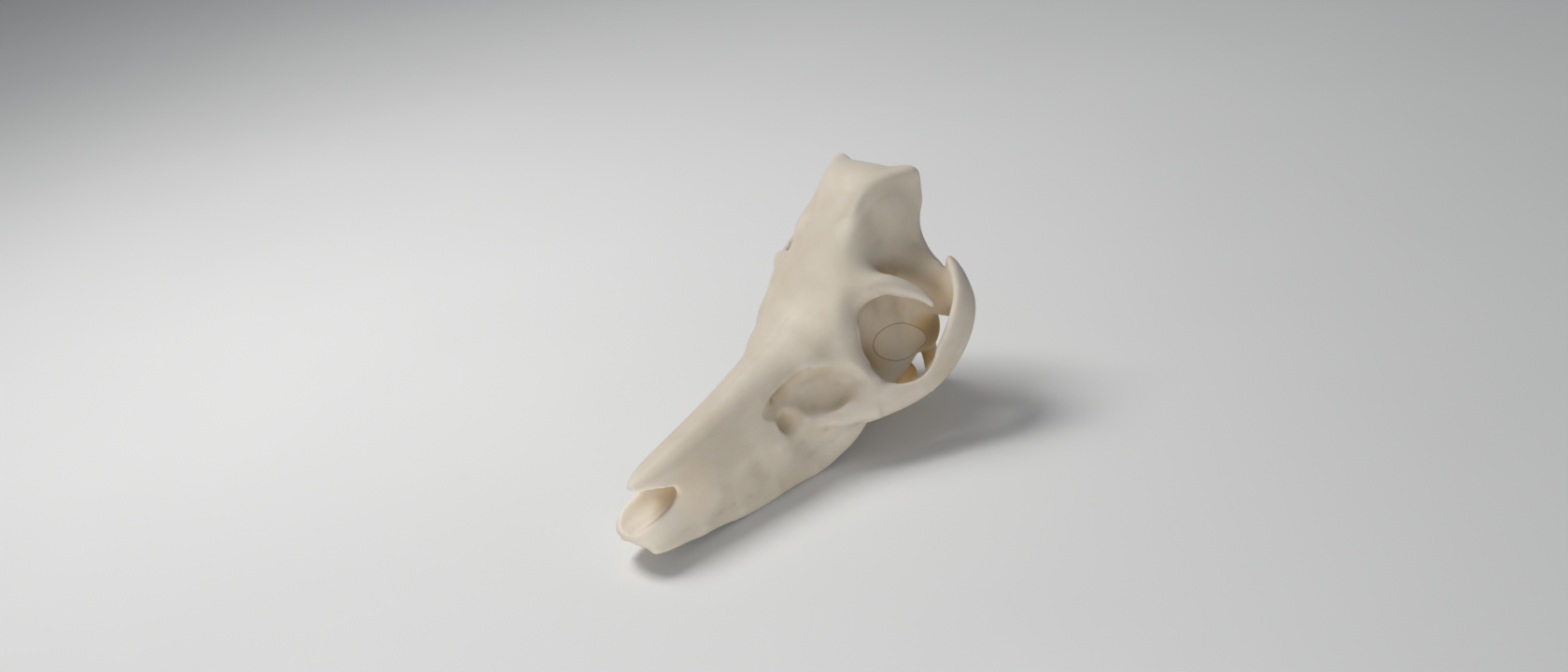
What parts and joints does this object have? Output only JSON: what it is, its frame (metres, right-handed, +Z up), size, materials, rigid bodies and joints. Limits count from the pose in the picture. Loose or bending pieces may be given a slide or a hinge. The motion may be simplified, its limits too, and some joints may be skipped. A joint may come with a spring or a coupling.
{
  "type": "pig skull",
  "caption": "Life-size skull of a grown domestic pig, the cranium without its lower jaw, resting on its tooth edge and jugular processes.",
  "frame": {"origin": "middle of the bounding box on the surface that the skull lies on", "axes": "+Y from the snout towards the back of the head, the animal's left towards +X, +Z up"},
  "size_m": [0.1828, 0.2927, 0.179],
  "materials": {
    "bone": "dry, smooth, pale beige bone with a low sheen"
  },
  "bodies": {
    "root": {"nasal_left": "bone", "nasal_right": "bone", "incisive_left": "bone", "incisive_right": "bone", "maxilla_left": "bone", "maxilla_right": "bone", "zygomatic_left": "bone", "zygomatic_right": "bone", "frontal_left": "bone", "frontal_right": "bone", "temporal_left": "bone", "temporal_right": "bone", "braincase": "bone"}
  },
  "joints": []
}
